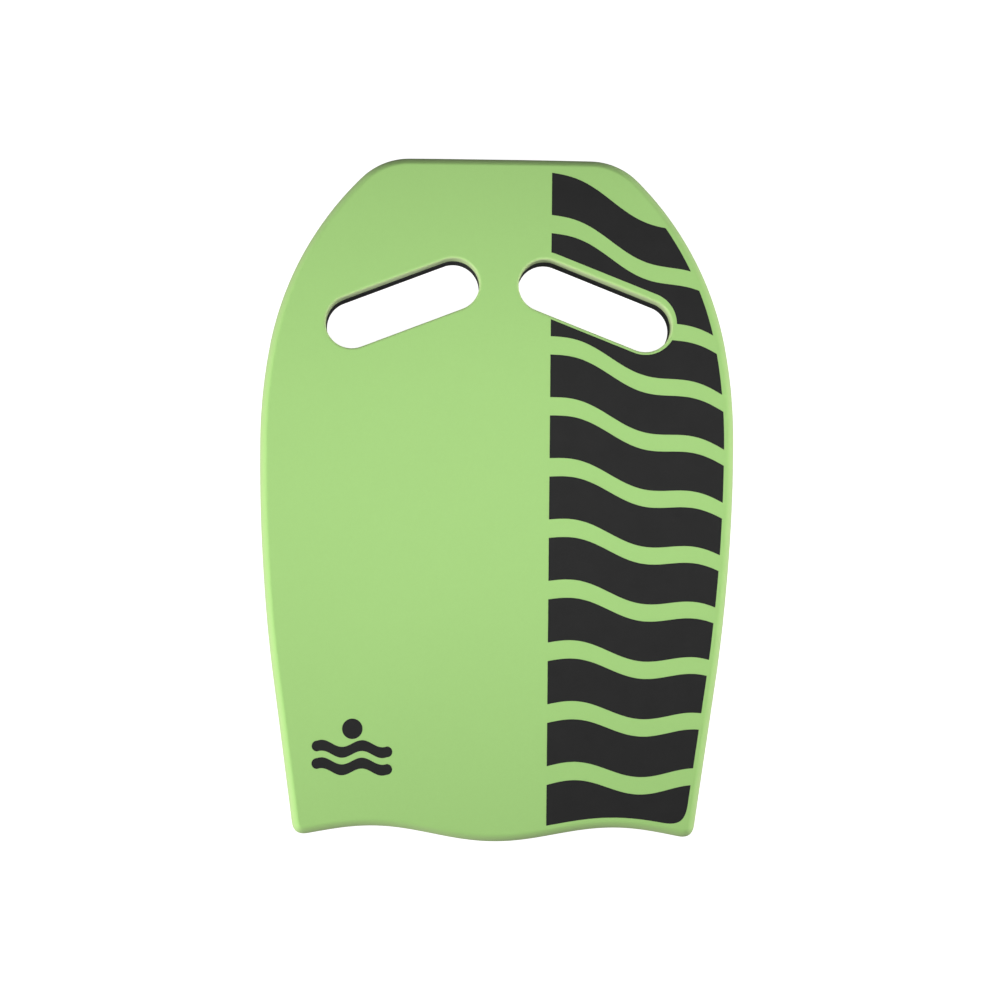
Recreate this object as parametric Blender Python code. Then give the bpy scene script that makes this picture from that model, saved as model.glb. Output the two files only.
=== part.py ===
"""Kickboard float: a laminated EVA foam board with two grip slots and a printed deck.

Metres, +Z up. The board lies on its back with its printed deck up and its nose toward +Y.
The origin is under the middle of the board, on the plane that its back rests on.
"""

import math

import bmesh
import bpy
from mathutils import Vector

# Board
LENGTH = 0.420
BACK_THICK = 0.009
CORE_THICK = 0.009
FRONT_THICK = 0.014
THICK = BACK_THICK + CORE_THICK + FRONT_THICK
BOND_GAP = 0.0003  # between glued sheets, and under the ink

# Outline of the right half, from the middle of the nose: (radius, heading in degrees, steps).
# Heading 0 runs along +X and 90 runs toward the tail.
CROWN = (6.11, 0.528, 2)
SHOULDER = (0.0418, 44.7, 9)
SIDE = (0.1966, 79.56, 10)
WAIST = (0.3214, 90.0, 3)
FLANK = (1.05, 98.16, 6)

# Tail edge: one wave along X, with a lobe in the middle and half lobes toward the tips
TAIL_WAVE_LENGTH = 0.1476
TAIL_WAVE_HEIGHT = 0.00445
TAIL_STEPS = 11
TIP_CUT = 0.0085  # how far the rounding of a tail tip reaches along each side
TIP_STEPS = 5
TIP_PASSES = 20  # of the search for the corner under a rounded tip

# Grip slots, one each side, with their outer ends nearer the tail
SLOT_X = 0.0593
SLOT_FROM_NOSE = 0.0911
SLOT_TILT = math.radians(21.3)
SLOT_LENGTH = 0.0990
SLOT_WIDTH = 0.0324
SLOT_STEPS = 9  # around each round end

# Rounded edges: (radius, tilt where the rounding meets the face). A tilt leaves a faint crease.
DECK_RIM = (0.0090, math.radians(30))
BACK_RIM = (0.0030, 0.0)
SLOT_RIM = (0.0015, 0.0)
BOND_RIM = (0.0, 0.0)  # a square edge
RIM_STEPS = 4

# Ink, on the flat of the deck
INK_THICK = 0.0003
DECK_MARGIN = 0.0065  # bare foam between the wave bars and the board's edge
PRINT_TIP_CUT = 0.020  # the print's corner beside the tail tip is rounder than the tip
SLOT_MARGIN = 0.0032
SLOT_MARGIN_SHIFT = 0.0013  # more bare foam on the nose side of the slot than on the other
CUTTER_REACH = 0.004  # above and below the deck

# Wave bars: a fan of ripples, slanted like the slot near the nose and level at the tail
BARS = 11
BARS_LEFT = 0.032
BARS_RIGHT = 0.150
BARS_FROM_NOSE = 0.009
BARS_TO_TAIL = 0.0085
BAR_SHARE = 0.70  # of each bar and the gap after it
FAN_SLOPE = 0.46
RIPPLE_LENGTH = 0.074
RIPPLE_HEIGHT = 0.0036
BAR_STEPS = 20

# Badge: a disc over two ripples
BADGE_X = -0.0865
BADGE_Y = -0.1545
BADGE_WIDTH = 0.049
BADGE_STROKE = 0.0066
BADGE_RIPPLE = 0.0021
BADGE_PITCH = 0.0106
DISC_RISE = 0.0122
DISC_RADIUS = 0.0062
DISC_STEPS = 28
STROKE_STEPS = 18
STROKE_END_STEPS = 5

NOSE_Y = LENGTH / 2
TAIL_Y = -LENGTH / 2
SMOOTH_BELOW = math.radians(35)

GREEN_EVA = ("green_eva", (0.385, 0.665, 0.222), 0.62)
CHARCOAL_EVA = ("charcoal_eva", (0.028, 0.029, 0.030), 0.66)
DARK_INK = ("dark_ink", (0.027, 0.028, 0.029), 0.48)


def clear_scene():
    for item in list(bpy.data.objects):
        bpy.data.objects.remove(item, do_unlink=True)


def make_material(name, colour, roughness):
    material = bpy.data.materials.new(name)
    material.use_nodes = True
    shader = material.node_tree.nodes["Principled BSDF"]
    shader.inputs["Base Color"].default_value = (*colour, 1.0)
    shader.inputs["Roughness"].default_value = roughness
    shader.inputs["Metallic"].default_value = 0.0
    return material


# Outlines. Each is a closed loop of 2D points: anticlockwise round a solid, clockwise round a
# hole, so that the foam or ink is always on the left.


def arc(start, heading, end_heading, radius, steps):
    """Points after start on an arc that turns clockwise from one heading to the other."""
    points = []
    for step in range(1, steps + 1):
        angle = heading + (end_heading - heading) * step / steps
        x = start.x + radius * (math.sin(angle) - math.sin(heading))
        y = start.y - radius * (math.cos(heading) - math.cos(angle))
        points.append(Vector((x, y)))
    return points


def tail_edge(x):
    swing = math.cos(2 * math.pi * x / TAIL_WAVE_LENGTH)
    return TAIL_Y + TAIL_WAVE_HEIGHT * (1 - swing)


def tail_tip(flank_end, heading):
    """Where the straight end of the flank meets the tail edge."""
    x = flank_end.x
    for _ in range(TIP_PASSES):
        x = flank_end.x + (flank_end.y - tail_edge(x)) / math.tan(heading)
    return Vector((x, tail_edge(x)))


def board_outline(tip_cut=TIP_CUT):
    right = [Vector((0, NOSE_Y))]
    heading = 0.0
    for radius, degrees, steps in (CROWN, SHOULDER, SIDE, WAIST, FLANK):
        end_heading = math.radians(degrees)
        right += arc(right[-1], heading, end_heading, radius, steps)
        heading = end_heading
    tip = tail_tip(right[-1], heading)
    along_flank = tip + tip_cut * (right[-1] - tip).normalized()
    tail_start = tip.x - tip_cut
    along_tail = Vector((tail_start, tail_edge(tail_start)))
    for step in range(TIP_STEPS + 1):
        t = step / TIP_STEPS
        right.append(along_flank * (1 - t) ** 2 + tip * (2 * t * (1 - t)) + along_tail * t**2)
    for step in range(1, TAIL_STEPS + 1):
        x = tail_start * (1 - step / TAIL_STEPS)
        right.append(Vector((x, tail_edge(x))))
    left = [Vector((-point.x, point.y)) for point in right[-2:0:-1]]
    return list(reversed(right + left))


def slot_outline(side, grow=0.0, shift=0.0):
    """The slot on side +1 or -1, grown all round and shifted toward the nose."""
    tilt = -side * SLOT_TILT
    centre = Vector((side * SLOT_X, NOSE_Y - SLOT_FROM_NOSE + shift))
    along = Vector((math.cos(tilt), math.sin(tilt)))
    radius = SLOT_WIDTH / 2 + grow
    points = []
    for end, first in ((1, math.pi / 2), (-1, -math.pi / 2)):
        middle = centre + along * (end * (SLOT_LENGTH - SLOT_WIDTH) / 2)
        for step in range(SLOT_STEPS + 1):
            angle = tilt + first - math.pi * step / SLOT_STEPS
            points.append(middle + radius * Vector((math.cos(angle), math.sin(angle))))
    return points


def moved_left(loop, distance):
    """The loop moved to its left: a solid's outline shrinks and a hole's outline grows."""
    moved = []
    for index, point in enumerate(loop):
        before = (point - loop[index - 1]).normalized()
        after = (loop[(index + 1) % len(loop)] - point).normalized()
        side = Vector((-before.y - after.y, before.x + after.x))
        moved.append(point + side * (distance / (1 + before.dot(after))))
    return moved


# Solids


def rim_profile(rim):
    """(depth below the face, inset) pairs round a rim, from the wall to the face."""
    radius, crease = rim
    if radius == 0:
        return [(0.0, 0.0)]
    pairs = []
    for step in range(RIM_STEPS + 1):
        tilt = math.pi / 2 + (crease - math.pi / 2) * step / RIM_STEPS
        depth = radius * (math.cos(crease) - math.cos(tilt))
        pairs.append((depth, radius * (1 - math.sin(tilt))))
    return pairs


def edge_profile(bottom, top, bottom_rim, top_rim):
    """(height, inset) pairs up the edge of a sheet."""
    lower = [(bottom + depth, inset) for depth, inset in reversed(rim_profile(bottom_rim))]
    upper = [(top - depth, inset) for depth, inset in rim_profile(top_rim)]
    return lower + upper


def add_wall(mesh, loop, profile):
    """Walls along a loop, up the profile. Returns the edges round the bottom and the top."""
    rings = []
    for height, inset in profile:
        ring = [mesh.verts.new((*point, height)) for point in moved_left(loop, inset)]
        rings.append(ring)
    for lower, upper in zip(rings, rings[1:]):
        for index in range(len(loop)):
            corners = (lower[index - 1], lower[index], upper[index], upper[index - 1])
            mesh.faces.new(corners)
    ends = []
    for ring in (rings[0], rings[-1]):
        ends.append([mesh.edges.get((ring[index - 1], ring[index])) for index in range(len(ring))])
    return ends


def add_plate(mesh, walls):
    """A closed plate from (loop, profile) pairs: its outline first, then its holes."""
    bottoms = []
    tops = []
    for loop, profile in walls:
        bottom, top = add_wall(mesh, loop, profile)
        bottoms += bottom
        tops += top
    for edges in (bottoms, tops):
        bmesh.ops.triangle_fill(mesh, edges=edges, use_beauty=True)
    bmesh.ops.recalc_face_normals(mesh, faces=mesh.faces)


def plate_object(name, walls, material=None):
    mesh = bmesh.new()
    add_plate(mesh, walls)
    data = bpy.data.meshes.new(name)
    mesh.to_mesh(data)
    mesh.free()
    data.shade_smooth()
    data.set_sharp_from_angle(angle=SMOOTH_BELOW)
    if material:
        data.materials.append(material)
    item = bpy.data.objects.new(name, data)
    bpy.context.scene.collection.objects.link(item)
    return item


# Foam sheets


def foam_sheet(name, heights, bottom_rims, top_rims, material):
    """One sheet of the laminate. The rims are (round the outline, round the slots)."""
    walls = [(board_outline(), edge_profile(*heights, bottom_rims[0], top_rims[0]))]
    for side in (-1, 1):
        walls.append((slot_outline(side), edge_profile(*heights, bottom_rims[1], top_rims[1])))
    return plate_object(name, walls, material)


def laminate(green, charcoal):
    core_bottom = BACK_THICK + BOND_GAP / 2
    core_top = BACK_THICK + CORE_THICK - BOND_GAP / 2
    back = (0.0, core_bottom - BOND_GAP)
    front = (core_top + BOND_GAP, THICK)
    bond_rims = (BOND_RIM, BOND_RIM)
    foam_sheet("back_sheet", back, (BACK_RIM, SLOT_RIM), bond_rims, charcoal)
    foam_sheet("core_sheet", (core_bottom, core_top), bond_rims, bond_rims, charcoal)
    foam_sheet("front_sheet", front, bond_rims, (DECK_RIM, SLOT_RIM), green)


# Ink


def ink_profile():
    bottom = THICK + BOND_GAP
    return [(bottom, 0.0), (bottom + INK_THICK, 0.0)]


def ripple(x, length, height):
    return height * math.sin(2 * math.pi * x / length)


def bar_edge(x, share):
    """Y of the line that lies this share of the way down the fan of wave bars."""
    from_left = x - BARS_LEFT
    top = NOSE_Y - BARS_FROM_NOSE - FAN_SLOPE * from_left
    bottom = TAIL_Y + BARS_TO_TAIL
    return top + (bottom - top) * share + ripple(from_left, RIPPLE_LENGTH, RIPPLE_HEIGHT)


def bar_outline(index):
    upper = index / (BARS - 1 + BAR_SHARE)
    lower = (index + BAR_SHARE) / (BARS - 1 + BAR_SHARE)
    width = BARS_RIGHT - BARS_LEFT
    stations = [BARS_LEFT + width * step / BAR_STEPS for step in range(BAR_STEPS + 1)]
    right_way = [Vector((x, bar_edge(x, lower))) for x in stations]
    left_way = [Vector((x, bar_edge(x, upper))) for x in reversed(stations)]
    return right_way + left_way


def make_cutter(name, loop):
    bottom = THICK - CUTTER_REACH
    top = THICK + CUTTER_REACH
    cutter = plate_object(name, [(loop, [(bottom, 0.0), (top, 0.0)])])
    cutter.hide_render = True
    cutter.display_type = "WIRE"
    return cutter


def cut(item, cutter, operation):
    modifier = item.modifiers.new(cutter.name, "BOOLEAN")
    modifier.object = cutter
    modifier.operation = operation
    modifier.solver = "EXACT"


def wave_bars(material):
    """Bars of ink, cut back from the board's edge and from the slot."""
    window = make_cutter("print_window", moved_left(board_outline(PRINT_TIP_CUT), DECK_MARGIN))
    keep_clear = list(reversed(slot_outline(1, SLOT_MARGIN, SLOT_MARGIN_SHIFT)))
    clearing = make_cutter("slot_clearing", keep_clear)
    for index in range(BARS):
        walls = [(bar_outline(index), ink_profile())]
        bar = plate_object(f"wave_bar_{index + 1:02d}", walls, material)
        cut(bar, window, "INTERSECT")
        cut(bar, clearing, "DIFFERENCE")


def stroke_outline(centre_y, width):
    """A rippled stroke of even height with round ends."""
    left = BADGE_X - width / 2
    radius = BADGE_STROKE / 2
    line = []
    for step in range(STROKE_STEPS + 1):
        x = left + radius + (width - 2 * radius) * step / STROKE_STEPS
        y = centre_y + ripple(x - BADGE_X, BADGE_WIDTH / 2, BADGE_RIPPLE)
        line.append(Vector((x, y)))
    points = [point - Vector((0, radius)) for point in line]
    points += round_end(line[-1], radius, -math.pi / 2)
    points += [point + Vector((0, radius)) for point in reversed(line)]
    points += round_end(line[0], radius, math.pi / 2)
    return points


def round_end(middle, radius, first):
    """Points between the two ends of a half circle that turns anticlockwise."""
    points = []
    for step in range(1, STROKE_END_STEPS):
        angle = first + math.pi * step / STROKE_END_STEPS
        points.append(middle + radius * Vector((math.cos(angle), math.sin(angle))))
    return points


def badge(material):
    """A generic water sign: a disc over two ripples."""
    centre = Vector((BADGE_X, BADGE_Y + DISC_RISE))
    disc = []
    for step in range(DISC_STEPS):
        angle = 2 * math.pi * step / DISC_STEPS
        disc.append(centre + DISC_RADIUS * Vector((math.cos(angle), math.sin(angle))))
    plate_object("badge_disc", [(disc, ink_profile())], material)
    for index in range(2):
        outline = stroke_outline(BADGE_Y - index * BADGE_PITCH, BADGE_WIDTH)
        plate_object(f"badge_ripple_{index + 1}", [(outline, ink_profile())], material)


def main():
    clear_scene()
    green = make_material(*GREEN_EVA)
    charcoal = make_material(*CHARCOAL_EVA)
    ink = make_material(*DARK_INK)
    laminate(green, charcoal)
    wave_bars(ink)
    badge(ink)


main()
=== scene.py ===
import math

import bmesh
import bpy
import numpy as np
from mathutils import Matrix, Vector, noise
from mathutils.geometry import delaunay_2d_cdt

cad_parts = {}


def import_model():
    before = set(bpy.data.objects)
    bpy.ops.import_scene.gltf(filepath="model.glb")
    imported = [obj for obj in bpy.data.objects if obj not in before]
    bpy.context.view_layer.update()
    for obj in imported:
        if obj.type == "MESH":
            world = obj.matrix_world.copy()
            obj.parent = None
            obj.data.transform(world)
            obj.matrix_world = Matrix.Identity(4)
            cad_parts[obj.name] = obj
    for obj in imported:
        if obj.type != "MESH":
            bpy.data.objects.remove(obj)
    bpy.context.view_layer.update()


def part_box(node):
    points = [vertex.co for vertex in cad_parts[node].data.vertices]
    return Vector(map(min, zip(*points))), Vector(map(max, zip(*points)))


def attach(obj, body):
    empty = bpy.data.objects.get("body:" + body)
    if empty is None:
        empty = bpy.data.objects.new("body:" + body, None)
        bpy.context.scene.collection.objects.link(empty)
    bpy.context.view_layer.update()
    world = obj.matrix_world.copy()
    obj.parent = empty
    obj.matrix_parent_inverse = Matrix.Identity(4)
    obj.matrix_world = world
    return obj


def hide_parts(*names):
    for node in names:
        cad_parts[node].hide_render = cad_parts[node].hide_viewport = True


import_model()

# The looks of the kickboard: finely rounded foam sheets, ink that lies on the foam, and a plain
# studio. The heights and the board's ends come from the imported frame. Metres, +Z up.

SHEET_NODES = ("back_sheet", "core_sheet", "front_sheet")
BOARD_LOW, BOARD_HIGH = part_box("front_sheet")
NOSE_Y = BOARD_HIGH[1]
TAIL_Y = BOARD_LOW[1]
DECK_Z = BOARD_HIGH[2]

# Outline of the right half, from the middle of the nose: (radius, heading in degrees).
# Heading 0 runs along +X and 90 runs toward the tail.
ARCS = ((6.11, 0.528), (0.0418, 44.7), (0.1966, 79.56), (0.3214, 90.0), (1.05, 98.16))
TAIL_WAVE_LENGTH = 0.1476
TAIL_WAVE_HEIGHT = 0.00445
TIP_CUT = 0.0085
TIP_STEPS = 12
TIP_PASSES = 20  # of the search for the corner under a rounded tip

SLOT_X = 0.0593
SLOT_FROM_NOSE = 0.0911
SLOT_TILT = math.radians(21.3)
SLOT_LENGTH = 0.0990
SLOT_WIDTH = 0.0324

# Rounded edges: (radius, tilt where the rounding meets the face). A tilt leaves a faint crease.
# A bond rim is the slight softness of a cut sheet beside the glue.
DECK_RIM = (0.0090, math.radians(30))
BACK_RIM = (0.0030, 0.0)
SLOT_RIM = (0.0015, 0.0)
BOND_RIM = (0.0004, 0.0)
RIM_STEPS = 8
WALL_STEPS = 4

# How finely the meshes are cut
OUTLINE_STEP = 0.0016
SLOT_STEP = 0.0011
FACE_GRID = 0.0050
INK_GRID = 0.0040
GRID_GAP = 0.55  # of the grid's spacing, kept free between the grid and a loop
FLAT_BORDER = 0.0008  # from a rim to the first row of triangles of a face
WHOLE_HULL = 0  # the triangulation covers the loops' whole hull, and fill() picks from it
FILL_SCALE = 1000  # faces are triangulated in millimetres
FILL_MERGE = 1e-4  # millimetres between points that become one
SEAM_MERGE = 1e-6  # between the points of a wall and of a face that are welded

# Small unevenness of skived and trimmed foam. A scale is how many swells there are to a metre.
DECK_SWELL = 0.00012
DECK_SWELL_SCALE = 13
DECK_SWELL_PLANE = 2.5  # the plane through the noise that gives the deck its swells
TRIM_WOBBLE = 0.00012
TRIM_WOBBLE_SCALE = 22

# Ink
INK_TOP = 0.00006  # over the deck
INK_DEPTH = 0.00010
INK_SHARP_ANGLE = math.radians(40)
DECK_MARGIN = 0.0065
PRINT_TIP_CUT = 0.020  # the print's corner beside the tail tip is rounder than the tip
SLOT_MARGIN = 0.0032
SLOT_MARGIN_SHIFT = 0.0013
BARS = 11
BARS_LEFT = 0.032
BARS_RIGHT = 0.150
BARS_FROM_NOSE = 0.009
BARS_TO_TAIL = 0.0085
BAR_SHARE = 0.70  # of a bar and the gap below it
FAN_SLOPE = 0.46  # at which the top bar falls toward the right
RIPPLE_LENGTH = 0.074
RIPPLE_HEIGHT = 0.0036
BAR_STEP = 0.0015
BADGE_X = -0.0865
BADGE_Y = -0.1545
BADGE_WIDTH = 0.049
BADGE_STROKE = 0.0066
BADGE_RIPPLE = 0.0021
BADGE_PITCH = 0.0106
STROKE_STEPS = 60
STROKE_END_STEPS = 12
DISC_RISE = 0.0122
DISC_RADIUS = 0.0062
DISC_STEPS = 60

# Colours, as linear red, green and blue
GREEN = (0.402, 0.690, 0.223)
# Paler green of the trimmed walls and the rims: partly the cut cells, partly painted highlight on the
# rims and painted light that lightens the shaded slot walls
GREEN_CUT_AND_HIGHLIGHT = (0.53, 0.665, 0.33)
CHARCOAL = (0.040, 0.041, 0.042)
CHARCOAL_CUT = (0.046, 0.046, 0.046)
INK = (0.0273, 0.0273, 0.0273)
WHITE = (1.0, 1.0, 1.0)
FLOOR_GREY = (0.45, 0.45, 0.45)

# Surfaces. A scale is how many cells or patches lie side by side in a metre.
PORE_SCALE = 1500
PORE_GRAIN = 0.6  # of a pit's depth
# Painted shade in the pores: each pit darker and its rim lighter, as a share of the broad mottle
PORE_SHADE = 0.6  # of the broad mottle
PIT_SCALE = 640  # the larger cells that a trimmed edge cuts open
GRAIN_DEPTH = 0.00025
FACE_BUMP = 0.18
CUT_BUMP = 0.25  # on top of the face's
BROAD_SCALE = 11
FINE_SCALE = 420
FINE_MOTTLE = 0.7  # of the broad mottle
FOAM_GLOSS_SCALE = 300
FOAM_ROUGHNESS = (0.56, 0.74)
FOAM_SPECULAR = 0.35
SHEEN_ROUGHNESS = 0.45
INK_SCALE = 60
INK_MOTTLE = (0.90, 1.10)
INK_GLOSS_SCALE = 350
INK_ROUGHNESS = (0.55, 0.70)
INK_SPECULAR = 0.05
INK_BUMP = 0.12
FLOOR_ROUGHNESS = 0.9

# Camera: 1.65 m over the deck, between its middle and the badge, aimed at the middle
EYE = Vector((-0.0403, -0.1090, 1.682))
AIM = Vector((0.00188, -0.00183, 0.032))
CAMERA_ROLL = math.radians(0.5955)
LENS_MM = 97.27
SENSOR_MM = 36

# Studio
BACKDROP_RADIUS = 3.0
BACKDROP_HEIGHT = 4.0
BACKDROP_COVE = 0.8
BACKDROP_SIDES = 64
COVE_STEPS = 8
FLOOR_GAP = 0.0003  # between the floor and the board
FLOOR_GLOW = 0.97
SKY_STRENGTH = 0.08


# Outlines: closed loops of 2D points, anticlockwise round a solid and clockwise round a hole


def arc(start, heading, end_heading, radius):
    """Points after start on an arc that turns clockwise from one heading to the other."""
    steps = math.ceil(radius * (end_heading - heading) / OUTLINE_STEP)
    points = []
    for step in range(1, steps + 1):
        angle = heading + (end_heading - heading) * step / steps
        x = start.x + radius * (math.sin(angle) - math.sin(heading))
        y = start.y - radius * (math.cos(heading) - math.cos(angle))
        points.append(Vector((x, y)))
    return points


def straight(start, end, step_length=OUTLINE_STEP):
    """Points after start on the way to end, which is the last of them."""
    steps = max(1, math.ceil((end - start).length / step_length))
    return [start.lerp(end, step / steps) for step in range(1, steps + 1)]


def tail_edge(x):
    swing = math.cos(2 * math.pi * x / TAIL_WAVE_LENGTH)
    return TAIL_Y + TAIL_WAVE_HEIGHT * (1 - swing)


def tail_tip(flank_end, heading):
    """Where the straight end of the flank meets the tail edge."""
    x = flank_end.x
    for _ in range(TIP_PASSES):
        x = flank_end.x + (flank_end.y - tail_edge(x)) / math.tan(heading)
    return Vector((x, tail_edge(x)))


def board_outline(tip_cut=TIP_CUT):
    right = [Vector((0, NOSE_Y))]
    heading = 0.0
    for radius, degrees in ARCS:
        end_heading = math.radians(degrees)
        right += arc(right[-1], heading, end_heading, radius)
        heading = end_heading
    tip = tail_tip(right[-1], heading)
    along_flank = tip + tip_cut * (right[-1] - tip).normalized()
    right += straight(right[-1], along_flank)
    tail_start = tip.x - tip_cut
    along_tail = Vector((tail_start, tail_edge(tail_start)))
    for step in range(1, TIP_STEPS + 1):
        t = step / TIP_STEPS
        right.append(along_flank * (1 - t) ** 2 + tip * (2 * t * (1 - t)) + along_tail * t**2)
    tail_steps = math.ceil(tail_start / OUTLINE_STEP)
    for step in range(1, tail_steps + 1):
        x = tail_start * (1 - step / tail_steps)
        right.append(Vector((x, tail_edge(x))))
    left = [Vector((-point.x, point.y)) for point in right[-2:0:-1]]
    return list(reversed(right + left))


def slot_outline(side, grow=0.0, shift=0.0):
    """The slot on side +1 or -1, grown all round and shifted toward the nose."""
    tilt = -side * SLOT_TILT
    centre = Vector((side * SLOT_X, NOSE_Y - SLOT_FROM_NOSE + shift))
    along = Vector((math.cos(tilt), math.sin(tilt)))
    radius = SLOT_WIDTH / 2 + grow
    steps = math.ceil(math.pi * radius / SLOT_STEP)
    points = []
    for end, first in ((1, math.pi / 2), (-1, -math.pi / 2)):
        middle = centre + along * (end * (SLOT_LENGTH - SLOT_WIDTH) / 2)
        turn = []
        for step in range(steps + 1):
            angle = tilt + first - math.pi * step / steps
            turn.append(middle + radius * Vector((math.cos(angle), math.sin(angle))))
        if points:
            points += straight(points[-1], turn[0])[:-1]
        points += turn
    points += straight(points[-1], points[0])[:-1]
    return points


def moved_left(loop, distance):
    """The loop moved to its left: a solid's outline shrinks and a hole's outline grows."""
    moved = []
    for index, point in enumerate(loop):
        before = (point - loop[index - 1]).normalized()
        after = (loop[(index + 1) % len(loop)] - point).normalized()
        side = Vector((-before.y - after.y, before.x + after.x))
        moved.append(point + side * (distance / (1 + before.dot(after))))
    return moved


def wobbled(loop, seed):
    """The loop as a trimmed edge, which wanders a little from its line."""
    moved = []
    for index, point in enumerate(loop):
        run = (loop[(index + 1) % len(loop)] - loop[index - 1]).normalized()
        place = Vector((point.x * TRIM_WOBBLE_SCALE, point.y * TRIM_WOBBLE_SCALE, seed))
        moved.append(point + Vector((-run.y, run.x)) * (TRIM_WOBBLE * noise.noise(place)))
    return moved


# Faces: triangles over what lies inside some loops and outside others


def is_inside(points, loop):
    """For each of the points, whether it lies inside the loop."""
    ends = np.array([tuple(point) for point in loop])
    starts = np.roll(ends, 1, axis=0)
    result = np.zeros(len(points), bool)
    for (x0, y0), (x1, y1) in zip(starts, ends):
        if y0 == y1:
            continue
        crosses = (y0 > points[:, 1]) != (y1 > points[:, 1])
        at = x0 + (points[:, 1] - y0) * (x1 - x0) / (y1 - y0)
        result ^= crosses & (points[:, 0] < at)
    return result


def in_region(points, within, without):
    result = np.ones(len(points), bool)
    for loop in within:
        result &= is_inside(points, loop)
    for loop in without:
        result &= ~is_inside(points, loop)
    return result


def grid_points(within, without, spacing):
    """A triangular grid of points inside the region, none of them close to a loop."""
    first = np.array([tuple(point) for point in within[0]])
    low = first.min(axis=0)
    high = first.max(axis=0)
    rows = []
    row_height = spacing * math.sqrt(3) / 2
    for row in range(int((high[1] - low[1]) / row_height) + 1):
        x = np.arange(low[0] + spacing / 2 * (row % 2), high[0], spacing)
        rows.append(np.stack([x, np.full(len(x), low[1] + row * row_height)], axis=1))
    points = np.concatenate(rows)
    points = points[in_region(points, within, without)]
    for loop in (*within, *without):
        edge = np.array([tuple(point) for point in loop])
        gap = np.linalg.norm(points[:, None, :] - edge[None, :, :], axis=2).min(axis=1)
        points = points[gap > spacing * GRID_GAP]
    return points


def fill(within, without, spacing):
    """(points, triangles) over the region inside the loops within and outside those without."""
    within = [[point * FILL_SCALE for point in loop] for loop in within]
    without = [[point * FILL_SCALE for point in loop] for loop in without]
    points = []
    edges = []
    for loop in (*within, *without):
        first = len(points)
        points += loop
        count = len(loop)
        edges += [(first + index, first + (index + 1) % count) for index in range(count)]
    points += [Vector(point) for point in grid_points(within, without, spacing * FILL_SCALE)]
    found, _, faces = delaunay_2d_cdt(points, edges, [], WHOLE_HULL, FILL_MERGE)[:3]
    found = np.array([tuple(point) for point in found])
    faces = np.array([face for face in faces if len(face) == 3])
    corners = found[faces]
    across = corners[:, 1] - corners[:, 0]
    down = corners[:, 2] - corners[:, 0]
    area = across[:, 0] * down[:, 1] - across[:, 1] * down[:, 0]
    kept = in_region(corners.mean(axis=1), within, without) & (area != 0)
    faces[area < 0] = faces[area < 0][:, ::-1]
    return found / FILL_SCALE, faces[kept]


# Foam sheets


def deck_swell(x, y):
    place = Vector((x * DECK_SWELL_SCALE, y * DECK_SWELL_SCALE, DECK_SWELL_PLANE))
    return DECK_SWELL * noise.noise(place)


def rim_profile(rim):
    """(depth below the face, inset, cut) round a rim, from the wall to the face."""
    radius, crease = rim
    rows = []
    for step in range(RIM_STEPS + 1):
        share = step / RIM_STEPS
        tilt = math.pi / 2 + (crease - math.pi / 2) * share
        depth = radius * (math.cos(crease) - math.cos(tilt))
        rows.append((depth, radius * (1 - math.sin(tilt)), 1 - share))
    rows.append((0.0, rows[-1][1] + FLAT_BORDER, 0.0))
    return rows


def edge_profile(bottom, top, bottom_rim, top_rim):
    """(height, inset, cut) up the edge of a sheet. Cut is 1 on the wall and 0 on the faces."""
    lower = [(bottom + depth, inset, cut) for depth, inset, cut in rim_profile(bottom_rim)]
    upper = [(top - depth, inset, cut) for depth, inset, cut in rim_profile(top_rim)]
    low = lower[0][0]
    high = upper[0][0]
    wall = []
    for step in range(1, WALL_STEPS):
        wall.append((low + (high - low) * step / WALL_STEPS, 0.0, 1.0))
    return lower[::-1] + wall + upper


def add_wall(mesh, loop, profile, cut_layer):
    """Walls along a loop, up the profile. Returns the loops at its bottom and its top."""
    rings = []
    for height, inset, cut in profile:
        ring = []
        for point in moved_left(loop, inset):
            vertex = mesh.verts.new((point.x, point.y, height))
            vertex[cut_layer] = cut
            ring.append(vertex)
        rings.append(ring)
    for lower, upper in zip(rings, rings[1:]):
        for index in range(len(loop)):
            corners = (lower[index - 1], lower[index], upper[index], upper[index - 1])
            mesh.faces.new(corners)
    return moved_left(loop, profile[0][1]), moved_left(loop, profile[-1][1])


def add_face(mesh, loops, height, up):
    """A flat face bounded by loops: the outline first, then the holes."""
    points, triangles = fill(loops[:1], loops[1:], FACE_GRID)
    used = {index: mesh.verts.new((*points[index], height)) for index in np.unique(triangles)}
    for triangle in triangles:
        corners = [used[index] for index in triangle]
        mesh.faces.new(corners if up else reversed(corners))


def finish_piece(mesh, name, material):
    data = bpy.data.meshes.new(name)
    mesh.to_mesh(data)
    mesh.free()
    data.shade_smooth()
    data.materials.append(material)
    piece = bpy.data.objects.new(name, data)
    bpy.context.scene.collection.objects.link(piece)
    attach(piece, "root")
    return piece


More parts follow.
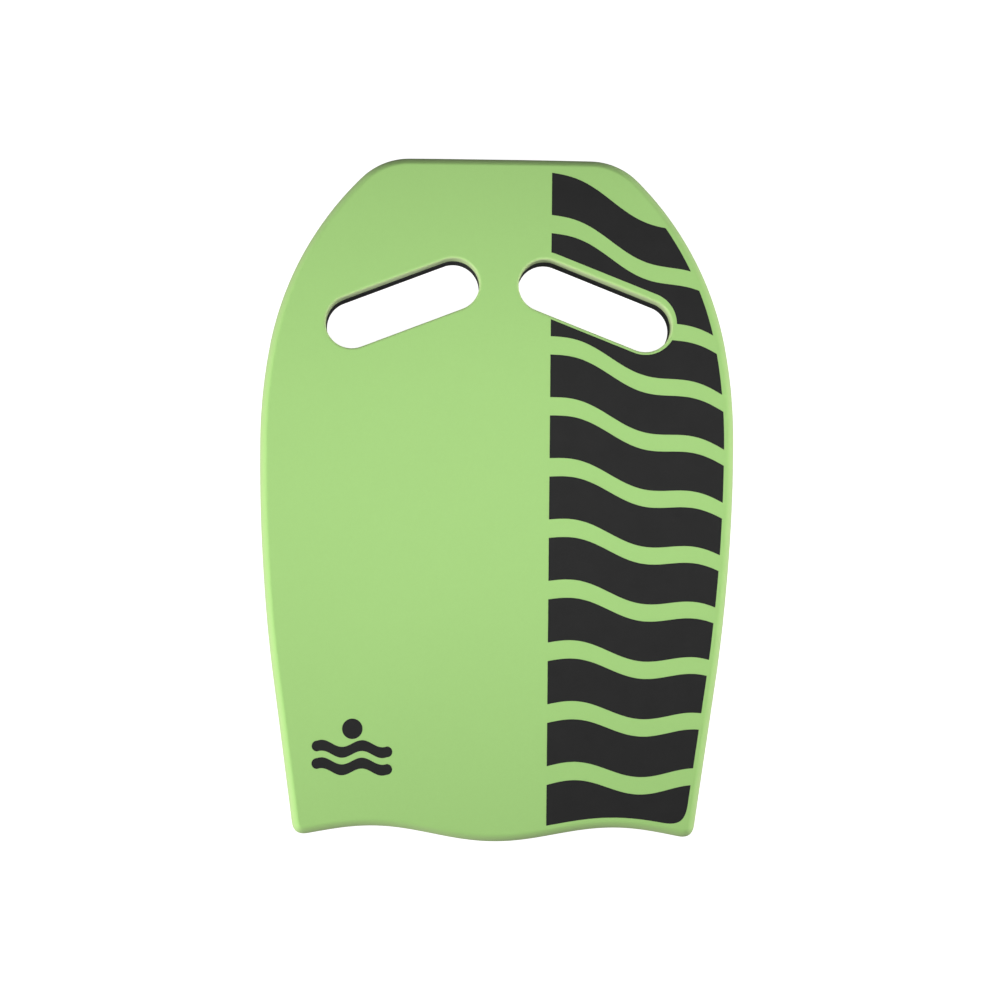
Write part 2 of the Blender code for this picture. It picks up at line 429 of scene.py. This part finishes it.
def foam_sheet(name, node, material, bottom_rims, top_rims, seed):
    """One sheet of the laminate. The rims are (round the outline, round the slots)."""
    bottom = 0.0 if node == SHEET_NODES[0] else bond_height(node)
    top = DECK_Z if node == SHEET_NODES[-1] else bond_height(next_sheet(node))
    mesh = bmesh.new()
    cut_layer = mesh.verts.layers.float.new("cut")
    bottoms = []
    tops = []
    outlines = [(board_outline(), 0), (slot_outline(-1), 1), (slot_outline(1), 1)]
    for loop, kind in outlines:
        profile = edge_profile(bottom, top, bottom_rims[kind], top_rims[kind])
        lower, upper = add_wall(mesh, wobbled(loop, seed), profile, cut_layer)
        bottoms.append(lower)
        tops.append(upper)
    add_face(mesh, bottoms, bottom, up=False)
    add_face(mesh, tops, top, up=True)
    bmesh.ops.remove_doubles(mesh, verts=mesh.verts, dist=SEAM_MERGE)
    if node == SHEET_NODES[-1]:
        for vertex in mesh.verts:
            share = (vertex.co.z - bottom) / (top - bottom)
            vertex.co.z += share * deck_swell(vertex.co.x, vertex.co.y)
    piece = finish_piece(mesh, name, material)
    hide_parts(node)
    return piece


def next_sheet(node):
    return SHEET_NODES[SHEET_NODES.index(node) + 1]


def bond_height(node):
    """The middle of the glue under a sheet."""
    below = SHEET_NODES[SHEET_NODES.index(node) - 1]
    return (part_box(node)[0][2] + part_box(below)[1][2]) / 2


# Ink


def ripple(x, length, height):
    return height * math.sin(2 * math.pi * x / length)


def bar_edge(x, share):
    """Y of the line that lies this share of the way down the fan of wave bars."""
    from_left = x - BARS_LEFT
    top = NOSE_Y - BARS_FROM_NOSE - FAN_SLOPE * from_left
    bottom = TAIL_Y + BARS_TO_TAIL
    return top + (bottom - top) * share + ripple(from_left, RIPPLE_LENGTH, RIPPLE_HEIGHT)


def bar_outline(index):
    upper = index / (BARS - 1 + BAR_SHARE)
    lower = (index + BAR_SHARE) / (BARS - 1 + BAR_SHARE)
    steps = math.ceil((BARS_RIGHT - BARS_LEFT) / BAR_STEP)
    width = BARS_RIGHT - BARS_LEFT
    stations = [BARS_LEFT + width * step / steps for step in range(steps + 1)]
    lower_edge = [Vector((x, bar_edge(x, lower))) for x in stations]
    upper_edge = [Vector((x, bar_edge(x, upper))) for x in reversed(stations)]
    left_end = straight(upper_edge[-1], lower_edge[0], BAR_STEP)[:-1]
    return lower_edge + upper_edge + left_end


def stroke_outline(centre_y):
    """A rippled stroke of even height with round ends."""
    radius = BADGE_STROKE / 2
    left = BADGE_X - BADGE_WIDTH / 2 + radius
    line = []
    for step in range(STROKE_STEPS + 1):
        x = left + (BADGE_WIDTH - 2 * radius) * step / STROKE_STEPS
        line.append(Vector((x, centre_y + ripple(x - BADGE_X, BADGE_WIDTH / 2, BADGE_RIPPLE))))
    points = [point - Vector((0, radius)) for point in line]
    points += round_end(line[-1], radius, -math.pi / 2)
    points += [point + Vector((0, radius)) for point in reversed(line)]
    points += round_end(line[0], radius, math.pi / 2)
    return points


def round_end(middle, radius, first):
    """Points between the two ends of a half circle that turns anticlockwise."""
    points = []
    for step in range(1, STROKE_END_STEPS):
        angle = first + math.pi * step / STROKE_END_STEPS
        points.append(middle + radius * Vector((math.cos(angle), math.sin(angle))))
    return points


def disc_outline():
    centre = Vector((BADGE_X, BADGE_Y + DISC_RISE))
    angles = [2 * math.pi * step / DISC_STEPS for step in range(DISC_STEPS)]
    return [centre + DISC_RADIUS * Vector((math.cos(a), math.sin(a))) for a in angles]


def ink_film(name, node, within, without, material):
    """A film of ink over a region of the deck, a little sunk into the foam."""
    points, triangles = fill(within, without, INK_GRID)
    mesh = bmesh.new()
    tops = {}
    bottoms = {}
    for index in np.unique(triangles):
        x, y = points[index]
        deck = DECK_Z + deck_swell(x, y)
        tops[index] = mesh.verts.new((x, y, deck + INK_TOP))
        bottoms[index] = mesh.verts.new((x, y, deck + INK_TOP - INK_DEPTH))
    sides = set()
    for triangle in triangles.tolist():
        mesh.faces.new([tops[index] for index in triangle])
        mesh.faces.new([bottoms[index] for index in reversed(triangle)])
        sides.update(zip(triangle, triangle[1:] + triangle[:1]))
    for start, end in sides:
        if (end, start) not in sides:
            mesh.faces.new((tops[end], tops[start], bottoms[start], bottoms[end]))
    piece = finish_piece(mesh, name, material)
    piece.data.set_sharp_from_angle(angle=INK_SHARP_ANGLE)
    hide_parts(node)
    return piece


# Materials


class Nodes:
    """A material's node tree, with short ways to add nodes and link them."""

    def __init__(self, name):
        self.material = bpy.data.materials.new(name)
        self.material.use_nodes = True
        self.tree = self.material.node_tree
        self.shader = self.tree.nodes["Principled BSDF"]

    def add(self, kind, **settings):
        node = self.tree.nodes.new(kind)
        for key, value in settings.items():
            setattr(node, key, value)
        return node

    def link(self, source, target):
        self.tree.links.new(source, target)

    def coordinates(self):
        return self.add("ShaderNodeTexCoord").outputs["Object"]

    def noise(self, scale, detail=2.0, roughness=0.5):
        node = self.add("ShaderNodeTexNoise")
        node.inputs["Scale"].default_value = scale
        node.inputs["Detail"].default_value = detail
        node.inputs["Roughness"].default_value = roughness
        self.link(self.coordinates(), node.inputs["Vector"])
        return node.outputs["Fac"]

    def cells(self, scale):
        """Distance from the middle of the nearest foam cell, from 0 to about 1."""
        node = self.add("ShaderNodeTexVoronoi")
        node.inputs["Scale"].default_value = scale
        self.link(self.coordinates(), node.inputs["Vector"])
        return node.outputs["Distance"]

    def spread(self, value, low, high):
        """A 0 to 1 value stretched to run from low to high."""
        node = self.add("ShaderNodeMapRange")
        node.inputs["To Min"].default_value = low
        node.inputs["To Max"].default_value = high
        self.link(value, node.inputs["Value"])
        return node.outputs["Result"]

    def maths(self, operation, first, second):
        node = self.add("ShaderNodeMath", operation=operation)
        for socket, value in zip(node.inputs, (first, second)):
            if isinstance(value, (int, float)):
                socket.default_value = value
            else:
                self.link(value, socket)
        return node.outputs["Value"]

    def attribute(self, name):
        node = self.add("ShaderNodeAttribute", attribute_name=name)
        return node.outputs["Fac"]

    def mix(self, colour, other, factor):
        """From colour, where the factor is 0, to other, where it is 1."""
        node = self.add("ShaderNodeMix", data_type="RGBA")
        node.inputs["A"].default_value = (*colour, 1.0)
        node.inputs["B"].default_value = (*other, 1.0)
        self.link(factor, node.inputs["Factor"])
        return node.outputs["Result"]

    def shade(self, colour, value):
        """The colour, made lighter or darker by a value near 1."""
        node = self.add("ShaderNodeHueSaturation")
        if isinstance(colour, tuple):
            node.inputs["Color"].default_value = (*colour, 1.0)
        else:
            self.link(colour, node.inputs["Color"])
        self.link(value, node.inputs["Value"])
        return node.outputs["Color"]

    def bump(self, height, strength, distance):
        node = self.add("ShaderNodeBump")
        node.inputs["Distance"].default_value = distance
        self.link(height, node.inputs["Height"])
        if isinstance(strength, (int, float)):
            node.inputs["Strength"].default_value = strength
        else:
            self.link(strength, node.inputs["Strength"])
        self.link(node.outputs["Normal"], self.shader.inputs["Normal"])


def foam_material(name, colour, rim_and_wall_colour, mottle, sheen):
    """Closed-cell EVA foam: skived faces, and trimmed edges and rims in a paler colour: the paler cut
    cells, and on the green foam also painted highlight on the rims and painted light on the shaded
    slot walls.
    """
    nodes = Nodes(name)
    cut = nodes.attribute("cut")
    pores = nodes.cells(PORE_SCALE)
    pits = nodes.cells(PIT_SCALE)

    fine_mottle = mottle * FINE_MOTTLE
    pore_shade_amount = mottle * PORE_SHADE
    broad = nodes.spread(nodes.noise(BROAD_SCALE, detail=3.0), -mottle, mottle)
    fine = nodes.spread(nodes.noise(FINE_SCALE, detail=3.0, roughness=0.6), -fine_mottle, fine_mottle)
    # Painted shade in the pores: darker at the middle of each cell, where the bump sinks a pit, and
    # lighter at its rim
    pore_shade = nodes.spread(pores, -pore_shade_amount, pore_shade_amount)
    value = nodes.maths("ADD", nodes.maths("ADD", broad, fine), nodes.maths("ADD", pore_shade, 1.0))
    # Paler where cut is 1, on the walls and over the rims: the cut cells, and on the green foam also
    # painted highlight and painted light on the shaded slot walls
    base = nodes.shade(nodes.mix(colour, rim_and_wall_colour, cut), value)
    nodes.link(base, nodes.shader.inputs["Base Color"])

    roughness = nodes.spread(nodes.noise(FOAM_GLOSS_SCALE), *FOAM_ROUGHNESS)
    nodes.link(roughness, nodes.shader.inputs["Roughness"])
    nodes.shader.inputs["Specular IOR Level"].default_value = FOAM_SPECULAR
    nodes.shader.inputs["Sheen Weight"].default_value = sheen
    nodes.shader.inputs["Sheen Roughness"].default_value = SHEEN_ROUGHNESS

    face_grain = nodes.maths("MULTIPLY", pores, PORE_GRAIN)
    cut_grain = nodes.maths("MULTIPLY", pits, cut)
    strength = nodes.maths("ADD", nodes.maths("MULTIPLY", cut, CUT_BUMP), FACE_BUMP)
    nodes.bump(nodes.maths("ADD", face_grain, cut_grain), strength, GRAIN_DEPTH)
    return nodes.material


def ink_material():
    """Dark, nearly matt screen ink, which lets the grain of the foam through."""
    nodes = Nodes("dark_ink_print")
    mottle = nodes.spread(nodes.noise(INK_SCALE, detail=3.0), *INK_MOTTLE)
    nodes.link(nodes.shade(INK, mottle), nodes.shader.inputs["Base Color"])
    roughness = nodes.spread(nodes.noise(INK_GLOSS_SCALE), *INK_ROUGHNESS)
    nodes.link(roughness, nodes.shader.inputs["Roughness"])
    nodes.shader.inputs["Specular IOR Level"].default_value = INK_SPECULAR
    nodes.bump(nodes.cells(PORE_SCALE), INK_BUMP, GRAIN_DEPTH)
    return nodes.material


# Studio


def backdrop():
    """A white floor that curves up into a round wall. It shows, but lights nothing."""
    rows = [(BACKDROP_RADIUS - BACKDROP_COVE, 0.0)]
    for step in range(1, COVE_STEPS + 1):
        angle = math.pi / 2 * step / COVE_STEPS
        radius = BACKDROP_RADIUS - BACKDROP_COVE * (1 - math.sin(angle))
        rows.append((radius, BACKDROP_COVE * (1 - math.cos(angle))))
    rows.append((BACKDROP_RADIUS, BACKDROP_HEIGHT))
    mesh = bmesh.new()
    rings = []
    for radius, height in rows:
        ring = []
        for side in range(BACKDROP_SIDES):
            angle = 2 * math.pi * side / BACKDROP_SIDES
            place = (radius * math.cos(angle), radius * math.sin(angle), height - FLOOR_GAP)
            ring.append(mesh.verts.new(place))
        rings.append(ring)
    mesh.faces.new(rings[0])
    for lower, upper in zip(rings, rings[1:]):
        for side in range(BACKDROP_SIDES):
            mesh.faces.new((lower[side], lower[side - 1], upper[side - 1], upper[side]))
    data = bpy.data.meshes.new("studio_backdrop")
    mesh.to_mesh(data)
    mesh.free()
    data.materials.append(white_material())
    item = bpy.data.objects.new("studio_backdrop", data)
    bpy.context.scene.collection.objects.link(item)
    item.visible_diffuse = False
    item.visible_glossy = False
    item.visible_shadow = False


def white_material():
    """A matt floor that glows, so that it stays white where the lights fall off."""
    nodes = Nodes("studio_white")
    nodes.shader.inputs["Base Color"].default_value = (*FLOOR_GREY, 1.0)
    nodes.shader.inputs["Roughness"].default_value = FLOOR_ROUGHNESS
    nodes.shader.inputs["Specular IOR Level"].default_value = 0.0
    nodes.shader.inputs["Emission Color"].default_value = (*WHITE, 1.0)
    nodes.shader.inputs["Emission Strength"].default_value = FLOOR_GLOW
    return nodes.material


def soft_light(name, location, target, size, power, shines=True):
    """An area light, in metres and watts. One that doesn't shine leaves no gloss on surfaces."""
    data = bpy.data.lights.new(name, "AREA")
    data.shape = "RECTANGLE"
    data.size, data.size_y = size
    data.energy = power
    light = bpy.data.objects.new(name, data)
    light.location = location
    light.rotation_euler = (Vector(target) - Vector(location)).to_track_quat("-Z", "Y").to_euler()
    light.visible_camera = False
    light.visible_glossy = shines
    bpy.context.scene.collection.objects.link(light)


def lights():
    """A long softbox over the deck, large ones low on the left and right, a faint one ahead."""
    deck = (0, 0, DECK_Z)
    soft_light("overhead_softbox", (0.03, 0.03, 0.43), (0.03, 0.03, 0), (0.65, 0.2), power=1.1)
    soft_light("left_softbox", (-1.3, -0.5, 0.46), deck, (1.2, 0.6), power=24, shines=False)
    soft_light("right_softbox", (1.3, -0.05, 0.26), deck, (1.2, 0.45), power=15, shines=False)
    soft_light("nose_softbox", (0, 1.3, 0.2), deck, (0.8, 0.3), power=0.6)


def world():
    scene_world = bpy.data.worlds.new("studio")
    scene_world.use_nodes = True
    background = scene_world.node_tree.nodes["Background"]
    background.inputs["Color"].default_value = (*WHITE, 1.0)
    background.inputs["Strength"].default_value = SKY_STRENGTH
    bpy.context.scene.world = scene_world


def camera():
    """Nearly straight down, with the nose at the top of the picture."""
    forward = (AIM - EYE).normalized()
    right = forward.cross(Vector((0, 1, 0))).normalized()
    right.rotate(Matrix.Rotation(CAMERA_ROLL, 3, -forward))
    up = right.cross(forward)
    turn = Matrix((right, up, -forward)).transposed()
    data = bpy.data.cameras.new("camera")
    data.lens = LENS_MM
    data.sensor_width = SENSOR_MM
    eye = bpy.data.objects.new("camera", data)
    eye.matrix_world = Matrix.Translation(EYE) @ turn.to_4x4()
    bpy.context.scene.collection.objects.link(eye)
    bpy.context.scene.camera = eye


def foam():
    green = foam_material("green_foam_skin", GREEN, GREEN_CUT_AND_HIGHLIGHT, mottle=0.02, sheen=0.10)
    charcoal = foam_material("charcoal_foam_skin", CHARCOAL, CHARCOAL_CUT, mottle=0.08, sheen=0.0)
    bond = (BOND_RIM, BOND_RIM)
    back = (BACK_RIM, SLOT_RIM)
    deck = (DECK_RIM, SLOT_RIM)
    foam_sheet("back_foam", "back_sheet", charcoal, back, bond, seed=1.5)
    foam_sheet("core_foam", "core_sheet", charcoal, bond, bond, seed=5.5)
    foam_sheet("front_foam", "front_sheet", green, bond, deck, seed=9.5)


def ink():
    material = ink_material()
    window = moved_left(board_outline(PRINT_TIP_CUT), DECK_MARGIN)
    clearing = slot_outline(1, SLOT_MARGIN, SLOT_MARGIN_SHIFT)
    for index in range(BARS):
        number = f"{index + 1:02d}"
        within = [bar_outline(index), window]
        ink_film(f"ink_bar_{number}", f"wave_bar_{number}", within, [clearing], material)
    ink_film("ink_disc", "badge_disc", [disc_outline()], [], material)
    for index in range(2):
        number = index + 1
        outline = stroke_outline(BADGE_Y - index * BADGE_PITCH)
        ink_film(f"ink_ripple_{number}", f"badge_ripple_{number}", [outline], [], material)


def main():
    bpy.context.scene.view_settings.view_transform = "Standard"
    camera()
    foam()
    ink()
    backdrop()
    lights()
    world()


main()
